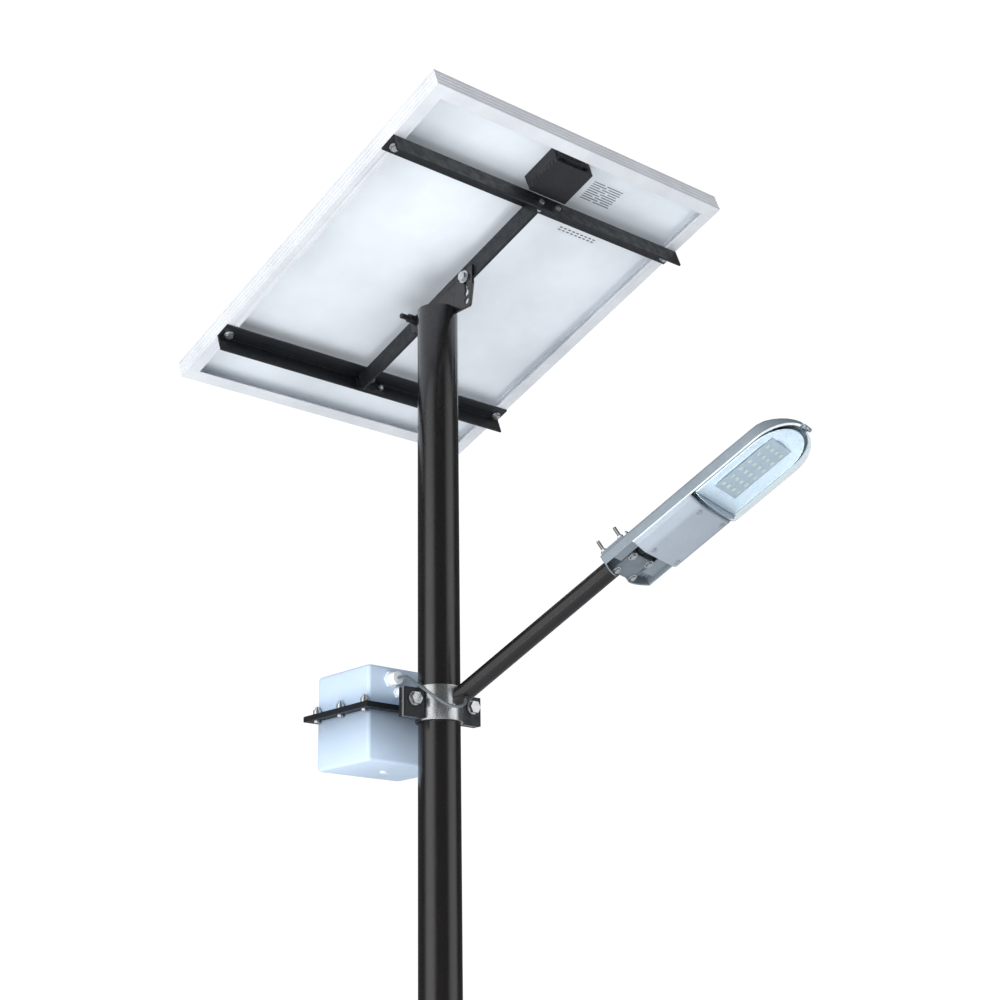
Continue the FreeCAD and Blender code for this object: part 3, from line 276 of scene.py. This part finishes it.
# ---------------------------------------------------------------- mesh helpers


SAME_POINT = 1e-6


class Build:
    """Collects the faces of one piece, in one of the parts' own frames, in millimetres."""

    def __init__(self, place=ROW):
        self.place = place
        self.points = []
        self.faces = []

    def rings(self, rings, close=True, first=False, last=False):
        """Skin over rings that have the same number of points."""
        start = len(self.points)
        count = len(rings[0])
        for ring in rings:
            self.points.extend(ring)
        for row in range(len(rings) - 1):
            for place in range(count if close else count - 1):
                after = (place + 1) % count
                a = start + row * count
                self.faces.append((a + place, a + after, a + count + after, a + count + place))
        if first:
            self.faces.append(tuple(reversed(range(start, start + count))))
        if last:
            end = start + (len(rings) - 1) * count
            self.faces.append(tuple(range(end, end + count)))

    def block(self, low, high):
        """A bar between two opposite corners."""
        x0, y0, z0 = low
        x1, y1, z1 = high
        flat = [(x0, y0), (x1, y0), (x1, y1), (x0, y1)]
        self.rings([[(x, y, z0) for x, y in flat], [(x, y, z1) for x, y in flat]],
                   first=True, last=True)

    def turned(self, centre, axis, profile, sides=40, first=True, last=True):
        """A body turned about an axis; the profile is (distance along, radius)."""
        axis = Vector(axis).normalized()
        aside = axis.orthogonal().normalized()
        other = axis.cross(aside)
        rings = []
        for along, radius in profile:
            middle = Vector(centre) + axis * along
            rings.append([tuple(middle + (aside * math.cos(turn) + other * math.sin(turn))
                                * radius)
                          for turn in (2 * math.pi * side / sides for side in range(sides))])
        self.rings(rings, first=first, last=last)

    def make(self, name, slot, body, stands_for=(), thick=0.0, bevel=0.0, steps=3, angle=35,
             smooth=40, paint=None):
        """Turn the faces into a finished piece that rides on a body."""
        mesh = bpy.data.meshes.new(name)
        mesh.from_pydata([self.place @ Vector(point) for point in self.points], [], self.faces)
        work = bmesh.new()
        work.from_mesh(mesh)
        bmesh.ops.remove_doubles(work, verts=work.verts, dist=SAME_POINT)
        bmesh.ops.recalc_face_normals(work, faces=work.faces)
        work.to_mesh(mesh)
        work.free()
        thing = bpy.data.objects.new(name, mesh)
        bpy.context.scene.collection.objects.link(thing)
        if bevel:
            add_bevel(thing, bevel, steps, angle)
        if thick:
            wall = thing.modifiers.new("wall", "SOLIDIFY")
            wall.thickness = thick * MM
            wall.offset = -1
            wall.use_even_offset = True
        soften(thing, smooth)
        use(thing, slot, body, paint)
        if stands_for:
            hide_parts(*stands_for)
        return thing


def add_bevel(thing, width, steps=2, angle=35):
    """Round the edges that turn by more than an angle."""
    edge = thing.modifiers.new("edges", "BEVEL")
    edge.width = width * MM
    edge.segments = steps
    edge.limit_method = "ANGLE"
    edge.angle_limit = math.radians(angle)
    edge.use_clamp_overlap = True


def soften(thing, angle):
    """Smooth shading below an angle."""
    mesh = thing.data
    mesh.polygons.foreach_set("use_smooth", [True] * len(mesh.polygons))
    work = bmesh.new()
    work.from_mesh(mesh)
    for edge in work.edges:
        if len(edge.link_faces) == 2:
            edge.smooth = edge.calc_face_angle(0) < math.radians(angle)
    work.to_mesh(mesh)
    work.free()


def spaced(start, end, count):
    """Evenly spaced numbers, both ends included."""
    return [start + (end - start) * place / (count - 1) for place in range(count)]


def rounded(x0, y0, x1, y1, radius, z, steps=6):
    """A rectangle with rounded corners as one ring."""
    ring = []
    for cx, cy, turn in ((x1 - radius, y1 - radius, 0), (x0 + radius, y1 - radius, 90),
                         (x0 + radius, y0 + radius, 180), (x1 - radius, y0 + radius, 270)):
        for step in range(steps + 1):
            a = math.radians(turn + 90 * step / steps)
            ring.append((cx + radius * math.cos(a), cy + radius * math.sin(a), z))
    return ring


# ---------------------------------------------------------------- luminaire
# In the arm's own directions: s runs along it, w across and h up.

HALF = 78
TAIL = 400
TAIL_HALF = 22
SHOULDER = 412
NOSE = 725
REACH = 62
RIM = -28
CROWN = 15
CROWN_RADIUS = 119.4
SPINE_RADIUS = 753
SPINE_PEAK = 560
EASE = 2.5
EASE_LIFT = 0.2
EDGE_TURN = 6.0
ARM_CLEARANCE = 21
SADDLE_BOLTS = (408, 444)
HINGE_S = 787.5
HINGE_H = -32
KNUCKLE = 3.5
COVER_FROM = 470
COVER_TO = 590
BOWL_FROM = 592
BOWL_HALF = 75
BOWL_NOSE = 58
BOWL_TOP = -29.4
BOWL_DEEP = 26.5
TRAY_FROM = 598
TRAY_HALF = 71
TRAY_NOSE = 718
TRAY_REACH = 56


def half_width(s):
    """Half the canopy's width: narrow at the arm, then straight, then an elliptical nose."""
    if s <= SHOULDER:
        return TAIL_HALF + (HALF - TAIL_HALF) * (max(0, s - TAIL) / (SHOULDER - TAIL)) ** 0.6
    if s <= NOSE:
        return HALF
    return HALF * math.sqrt(max(0, 1 - ((s - NOSE) / REACH) ** 2))


def roof(s, w):
    """Height of the canopy's top: a barrel across meets a longer barrel along."""
    across = CROWN - CROWN_RADIUS + math.sqrt(CROWN_RADIUS ** 2 - w ** 2)
    along = CROWN - SPINE_RADIUS + math.sqrt(SPINE_RADIUS ** 2 - (s - SPINE_PEAK) ** 2)
    lower = min(across, along)
    return lower - EASE * math.log(1 + math.exp(-abs(across - along) / EASE)) + EASE_LIFT


def arch(s):
    """One cross section of the canopy from rim to rim."""
    wide = half_width(s)
    turn = min(EDGE_TURN, wide * 0.4)
    inner_w = wide - turn
    top = roof(s, inner_w)
    side = [(wide, RIM), (wide, RIM + 1.5)]
    for step in range(6):
        a = math.radians(18 * step)
        side.append((inner_w + turn * math.cos(a), top - turn * 0.9 * (1 - math.sin(a))))
    across = [inner_w * math.cos(math.radians(a)) for a in range(6, 91, 7)]
    half = side + [(w, roof(s, w)) for w in across]
    ring = [(s, w, max(h, RIM + 0.1)) for w, h in half]
    ring[0] = (s, wide, RIM)
    return ring + [(s, -w, h) for s, w, h in reversed(ring)]


def canopy_shell():
    tail = [TAIL, 400.6, 401.6, 403, 405, 408, SHOULDER, 420, 432, 448]
    nose = [NOSE + REACH * math.sin(math.radians(a))
            for a in (0, 12, 24, 36, 47, 57, 66, 74, 81, 86, 89)]
    canopy = Build(LAMP)
    canopy.rings([arch(s) for s in tail + spaced(465, 715, 14) + nose], close=False)
    canopy.make("canopy_shell", "lamp_grey", "lamp", ["lamp_canopy"], thick=2.2, smooth=50,
                paint="canopy_cast")


def canopy_hood():
    """The half tube that covers the arm's end."""
    turns = [math.radians(turn) for turn in range(-6, 187, 8)]
    hood = Build(LAMP)
    hood.rings([[(s, (ARM_CLEARANCE - sink) * math.cos(a), (ARM_CLEARANCE - sink) * math.sin(a))
                 for a in turns]
                for s, sink in ((399.5, 1.2), (400.5, 0.3), (402, 0), (440, 0), (462, 0), (466, 1))],
               close=False)
    hood.make("canopy_hood", "lamp_grey", "lamp", thick=4.4, smooth=50, paint="canopy_cast")


def canopy_inner_bosses():
    """Bolt bosses, side wings, the two outer hinge knuckles and the bulkhead."""
    inner = Build(LAMP)
    for side in (-1, 1):
        low, high = sorted((side * 17, side * 36))
        inner.block((403, low, 2), (450, high, 16))
        low, high = sorted((side * 39, side * 74.5))
        inner.block((426, low, -21), (468, high, -19))
        knuckle_low = 6.3 if side > 0 else -12.3
        inner.turned((HINGE_S, knuckle_low, HINGE_H), (0, 1, 0),
                     [(0, 3.3), (0.3, KNUCKLE), (5.7, KNUCKLE), (6, 3.3)], sides=24)
        inner.block((HINGE_S - 3.9, knuckle_low, HINGE_H), (HINGE_S + 0.5, knuckle_low + 6, -26))
    inner.block((467, -74, -27.5), (469.5, 74, -3))
    inner.make("canopy_inner_bosses", "lamp_grey", "lamp", bevel=1.2, paint="canopy_cast")


def saddle_washers():
    washers = Build(LAMP)
    for side in (-28, 28):
        for s in SADDLE_BOLTS:
            washers.turned((s, side, -22), (0, 0, -1),
                           [(0, 8.5), (1.2, 8.5), (1.6, 8.1), (1.6, 5.9)],
                           sides=32, first=False, last=False)
    washers.make("saddle_washers", "zinc_steel", "lamp", smooth=30)


def gear_cover_skin():
    """A shallow trough with sloping sides and closed ends."""
    half_section = [(76, -29), (76, -34), (52, -46)]
    section = half_section + [(-w, h) for w, h in reversed(half_section)]
    cover = Build(LAMP)
    cover.rings([[(s, w, h) for w, h in section] for s in (COVER_FROM, COVER_TO)], close=False)
    for s, flip in ((COVER_FROM, False), (COVER_TO, True)):
        start = len(cover.points)
        cover.points.extend((s, w, h) for w, h in section)
        face = tuple(range(start, start + len(section)))
        cover.faces.append(tuple(reversed(face)) if flip else face)
    cover.make("gear_cover_skin", "lamp_grey", "lamp", ["gear_cover"], bevel=5, steps=5,
               angle=18, thick=2.0, smooth=30)


def tray_ring(inset, h):
    """Rounded outline of the reflector at one depth, seen in plan."""
    wide = TRAY_HALF - inset
    reach = TRAY_REACH - inset
    ring = [(TRAY_FROM + inset, wide, h), (TRAY_FROM + inset, -wide, h)]
    for turn in range(-90, 91, 9):
        a = math.radians(turn)
        ring.append((TRAY_NOSE + reach * math.cos(a), wide * math.sin(a), h))
    return ring


def reflector_tray():
    """The reflector's sloping skirt and the flat plate above it; the plate is painted darker than
    the skirt, as painted shade inside the bowl.
    """
    tray = Build(LAMP)
    tray.rings([tray_ring(inset, h) for inset, h in
                ((0, -29.2), (1.2, -30.4), (2.6, -29.2), (14, -26.8), (27, -24.9), (29, -25.9),
                 (30.5, -24.8))])
    tray.make("reflector_skirt", "reflector_white", "lamp", smooth=25)
    plate = Build(LAMP)
    plate.rings([tray_ring(8, -23.6), tray_ring(8, -24.2), tray_ring(30.5, -24.4)], first=True,
                last=True)
    plate.make("reflector_plate", "reflector_white", "lamp", ["reflector"], smooth=25,
               paint="reflector_painted_shade")


def bowl_ring(s, wide, deep, count=41, power=2.3):
    """One cross section of the bowl, squarer than an ellipse."""
    ring = []
    for turn in spaced(0, math.pi, count):
        c, d = math.cos(turn), math.sin(turn)
        ring.append((s, wide * math.copysign(abs(c) ** (2 / power), c),
                     BOWL_TOP - deep * abs(d) ** (2 / power)))
    return ring


def bowl_skin():
    """The clear bowl: an upright rear wall, a straight body and a rounded nose."""
    rings = []
    for s, share in ((BOWL_FROM, 0.02), (BOWL_FROM, 0.5), (592.6, 0.75), (594, 0.88),
                     (596.5, 0.95), (600, 0.985), (606, 1)):
        rings.append(bowl_ring(s, BOWL_HALF, BOWL_DEEP * share))
    for s in spaced(618, 720, 9):
        rings.append(bowl_ring(s, BOWL_HALF, BOWL_DEEP))
    for a in (0, 10, 20, 30, 40, 50, 59, 67, 74, 80, 85, 88.5):
        a = math.radians(a)
        rings.append(bowl_ring(NOSE + BOWL_NOSE * math.sin(a), BOWL_HALF * math.cos(a),
                               BOWL_DEEP * math.cos(a) ** 0.8))
    bowl = Build(LAMP)
    bowl.rings(rings, close=False)
    bowl.turned((HINGE_S, -6, HINGE_H), (0, 1, 0),
                [(0, 3.2), (0.3, KNUCKLE), (11.7, KNUCKLE), (12, 3.2)], sides=24)
    bowl.block((HINGE_S - 8, -6, -33.6), (HINGE_S - 1, 6, -31.2))
    skin = bowl.make("bowl_skin", "clear_plastic", "bowl", ["bowl_lens"], thick=2.2, smooth=55)
    skin.visible_shadow = False


def reflector_end_wall():
    wall = Build(LAMP)
    wall.rings([bowl_ring(s, 70, 21.5) for s in (597, 598.2)], first=True, last=True)
    wall.make("reflector_end_wall", "reflector_white", "lamp", bevel=0.3, paint="lamp_grey")


canopy_shell()
canopy_hood()
canopy_inner_bosses()
saddle_washers()
gear_cover_skin()
reflector_tray()
bowl_skin()
reflector_end_wall()

# ---------------------------------------------------------------- battery box

BOX_HALF = 91.5
BOX_NEAR = 78
BOX_FAR = 226
BOX_LOW = 2175.4
BOX_HIGH = 2342.8
BOX_CORNER = 6.5
BOX_WALL = 3
TUB_TOP = 2268.8
LID_FOOT = 2270.2
FLANGE_THICK = 2.8
SIDE_STEPS = ((5, 0), (3.0, 0.7), (1.4, 1.9), (0.4, 3.8), (0, 6))


def box_ring(inset, z):
    """The box's outline at one height."""
    return rounded(-BOX_HALF + inset, BOX_NEAR + inset, BOX_HALF - inset, BOX_FAR - inset,
                   BOX_CORNER, z)


def box_halves():
    """The tub and the lid, with softly rounded ends."""
    tub = Build()
    tub.rings([box_ring(inset, BOX_LOW + rise) for inset, rise in SIDE_STEPS]
              + [box_ring(0, TUB_TOP)], first=True)
    tub.make("box_tub", "box_plastic", "bracket", ["box_shell"], thick=BOX_WALL, smooth=50)
    lid = Build()
    lid.rings([box_ring(0, LID_FOOT)]
              + [box_ring(inset, BOX_HIGH - rise) for inset, rise in reversed(SIDE_STEPS)],
              last=True)
    lid.make("box_hood", "box_plastic", "bracket", ["box_lid"], thick=BOX_WALL, smooth=50)


def box_flange(name, low):
    """One of the two flanges that the box's bolts hold together."""
    high = low + FLANGE_THICK
    outer = (-106, 63.5, 106, 240.5)
    inside = (-88.5, 81, 88.5, 223)
    edge = Build()
    edge.rings([rounded(*inside, 6, low), rounded(*outer, 4, low), rounded(*outer, 4, high),
                rounded(*inside, 6, high), rounded(*inside, 6, low)])
    edge.make(name, "box_plastic", "bracket", bevel=0.6)


box_halves()
box_flange("box_tub_flange", TUB_TOP - FLANGE_THICK)
box_flange("box_hood_flange", LID_FOOT)

# ---------------------------------------------------------------- panel's sun side
# In the panel's own directions: u along the cross rails, v down the slope, n towards the sun.

PANE_HALF_WIDE = 337.6
PANE_HALF_LONG = 397.6
CELL_TOP = 29.3
CELL_PITCH = 159
STRING_HALF = 363
RIBBON_HALF = 0.8
RIBBON_TOP = 29.42


def glass_pane():
    """The front glass, with ground edges."""
    pane = Build(PANEL)
    pane.rings([rounded(inset - PANE_HALF_WIDE, inset - PANE_HALF_LONG, PANE_HALF_WIDE - inset,
                        PANE_HALF_LONG - inset, 3, n)
                for inset, n in ((0.5, 29.5), (0, 30), (0, 32), (0.5, 32.5))],
               first=True, last=True)
    pane.make("glass_pane", "panel_glass", "panel", ["panel_glass"])


def cell_ribbons():
    """Three tinned ribbons along each of the four strings of cells."""
    ribbons = Build(PANEL)
    for string in range(4):
        for offset in (-52, 0, 52):
            u = (string - 1.5) * CELL_PITCH + offset
            ribbons.block((u - RIBBON_HALF, -STRING_HALF, CELL_TOP),
                          (u + RIBBON_HALF, STRING_HALF, RIBBON_TOP))
    ribbons.make("cell_ribbons", "zinc_steel", "panel")


glass_pane()
cell_ribbons()

# ---------------------------------------------------------------- labels' print

INK_LOW = 27.55
INK_HIGH = 27.75


def label_marks():
    """Rows of plain dashes on the two rating labels."""
    marks = Build(PANEL)
    for row in range(9):
        v = -331 + 5.2 * row
        u = 88
        for wide in ((26, 40), (34, 30), (22, 44), (40, 22))[row % 4]:
            marks.block((u, v, INK_LOW), (u + wide, v + 1.9, INK_HIGH))
            u += wide + 6
    for row in range(2):
        for place in range(9):
            marks.block((106 + 10.4 * place, -213 + 6 * row, INK_LOW),
                        (112.5 + 10.4 * place, -210.4 + 6 * row, INK_HIGH))
    marks.make("label_marks", "label_paper", "panel", paint="label_ink")


label_marks()

# ---------------------------------------------------------------- frame nodes

SLOTS = {part["node"]: part["material_slot"] for part in frame["record"]["subparts"]}
# The lamp saddle takes the darker paint that is painted shade of its recess.
FINISHES = {"lamp_saddle": "saddle_painted_shade", "lamp_gasket": "white_plastic",
            "arm_tube": "arm_black"}
WELD_DISTANCE = 1e-5
# Edge rounding in millimetres.
BEVELS = {
    "base_plate": 2.0, "base_ribs": 1.2, "pole_tube": 0.6, "tilt_gusset": 0.8,
    "cross_rail_upper": 0.9, "cross_rail_lower": 0.9, "centre_rail": 0.9, "rail_cleats": 0.6,
    "rail_bolts": 0.4, "rail_nuts": 0.4, "lock_bolt": 0.6, "lock_nut": 0.4, "pivot_bolt": 0.6,
    "pivot_nuts": 0.6, "junction_box_base": 0.8, "junction_box_lid": 1.0,
    "junction_glands": 0.6, "clamp_front_band": 0.7, "clamp_rear_band": 0.7,
    "clamp_backing_plates": 1.0, "clamp_bolts": 0.9, "clamp_nuts": 0.6, "box_cradle": 0.7,
    "box_bolts": 0.4, "box_nuts": 0.5, "box_glands": 1.0, "battery_pack": 1.5,
    "charge_controller": 1.0, "lamp_saddle": 1.5, "saddle_fasteners": 0.5, "cover_screws": 0.4,
    "led_driver": 0.8, "earth_tag": 0.4, "frame_rail_upper": 0.3, "frame_rail_lower": 0.3,
    "frame_rail_left": 0.3, "frame_rail_right": 0.3,
}
for name, thing in NODES.items():
    if thing.hide_render:
        continue
    use(thing, SLOTS[name], paint=FINISHES.get(name))
    if name in BEVELS:
        weld = thing.modifiers.new("weld", "WELD")
        weld.merge_threshold = WELD_DISTANCE
        add_bevel(thing, BEVELS[name])

# ---------------------------------------------------------------- floor, world and lights

FLOOR_HALF = 9
FLOOR_DROP = -0.002


def pale_floor():
    mesh = bpy.data.meshes.new("floor")
    corners = [(-FLOOR_HALF, -FLOOR_HALF), (FLOOR_HALF, -FLOOR_HALF), (FLOOR_HALF, FLOOR_HALF),
               (-FLOOR_HALF, FLOOR_HALF)]
    mesh.from_pydata([(x, y, FLOOR_DROP) for x, y in corners], [], [(0, 1, 2, 3)])
    floor = bpy.data.objects.new("floor", mesh)
    bpy.context.scene.collection.objects.link(floor)
    use(floor, "floor")


class Studio:
    """A world that is white to the eye, softer as bounced light, and dark with strips in gloss."""

    def __init__(self):
        world = bpy.data.worlds.new("studio")
        bpy.context.scene.world = world
        world.use_nodes = True
        self.tree = world.node_tree
        self.tree.nodes.clear()
        ray = self.tree.nodes.new("ShaderNodeLightPath").outputs
        mirrored = self.calculate("SUBTRACT", ray["Is Glossy Ray"], ray["Is Transmission Ray"], True)
        direct = self.calculate("ADD", ray["Is Camera Ray"], ray["Is Transmission Ray"])
        strips = self.calculate("ADD", self.softbox((-0.98, 0.06, 0), 0.80, 1.9),
                                self.softbox((0.535, -0.857, 0), 0.84, 1.5))
        gloss = self.background(self.calculate("ADD", self.limited(strips), 0.12), (0.8, 0.8, 0.8))
        bounced = self.mixed(mirrored, self.background(0.62, (0.95, 0.97, 1)), gloss)
        seen = self.background(1.05, (1, 1, 1))
        output = self.tree.nodes.new("ShaderNodeOutputWorld")
        self.tree.links.new(self.mixed(direct, bounced, seen), output.inputs["Surface"])

    def feed(self, value, socket):
        """Link a socket, or set it when the value is a number."""
        if isinstance(value, (int, float)):
            socket.default_value = value
        else:
            self.tree.links.new(value, socket)

    def calculate(self, operation, first, second, clamp=False):
        node = self.tree.nodes.new("ShaderNodeMath")
        node.operation = operation
        node.use_clamp = clamp
        self.feed(first, node.inputs[0])
        self.feed(second, node.inputs[1])
        return node.outputs[0]

    def background(self, strength, colour):
        node = self.tree.nodes.new("ShaderNodeBackground")
        node.inputs["Color"].default_value = (*colour, 1)
        self.feed(strength, node.inputs["Strength"])
        return node.outputs[0]

    def mixed(self, share, first, second):
        node = self.tree.nodes.new("ShaderNodeMixShader")
        self.tree.links.new(share, node.inputs["Fac"])
        self.tree.links.new(first, node.inputs[1])
        self.tree.links.new(second, node.inputs[2])
        return node.outputs[0]

    def direction(self):
        return self.tree.nodes.new("ShaderNodeTexCoord").outputs["Generated"]

    def vector(self, operation, first, second=None):
        node = self.tree.nodes.new("ShaderNodeVectorMath")
        node.operation = operation
        self.tree.links.new(first, node.inputs[0])
        if second is not None:
            node.inputs[1].default_value = second
        return node

    def fade(self, value, start, end, strength=1.0):
        """Rise smoothly from nothing at the start to full strength at the end."""
        node = self.tree.nodes.new("ShaderNodeMapRange")
        node.interpolation_type = "SMOOTHSTEP"
        node.inputs["From Min"].default_value = start
        node.inputs["From Max"].default_value = end
        node.inputs["To Max"].default_value = strength
        self.tree.links.new(value, node.inputs["Value"])
        return node.outputs["Result"]

    def softbox(self, towards, tight, strength):
        """A tall soft strip of brightness round one level direction."""
        flat = self.vector("MULTIPLY", self.direction(), (1, 1, 0)).outputs[0]
        level = self.vector("NORMALIZE", flat).outputs[0]
        nearness = self.vector("DOT_PRODUCT", level, Vector(towards).normalized())
        return self.fade(nearness.outputs["Value"], tight, 1.0, strength)

    def limited(self, strips):
        """Keep the strips off the ground and away from overhead."""
        height = self.tree.nodes.new("ShaderNodeSeparateXYZ")
        self.tree.links.new(self.direction(), height.inputs[0])
        for start, end in ((-0.4, -0.1), (0.85, 0.5)):
            strips = self.calculate("MULTIPLY", strips, self.fade(height.outputs["Z"], start, end))
        return strips


def area_light(name, place, target, wide, tall, power):
    """A soft rectangular light that shows in no reflection."""
    data = bpy.data.lights.new(name, "AREA")
    data.shape = "RECTANGLE"
    data.size = wide
    data.size_y = tall
    data.energy = power
    light = bpy.data.objects.new(name, data)
    bpy.context.scene.collection.objects.link(light)
    light.location = place
    light.visible_glossy = False
    light.rotation_euler = (Vector(target) - Vector(place)).to_track_quat("-Z", "Y").to_euler()


pale_floor()
Studio()
area_light("key", (-7.6, -2.1, 2.1), (0, 0, 2.6), 3.2, 3.8, 480)
area_light("under", (-0.8, -1.0, 0.5), (-0.8, -1.0, 3.0), 2.4, 2.4, 51)
bpy.context.scene.view_settings.view_transform = "Standard"
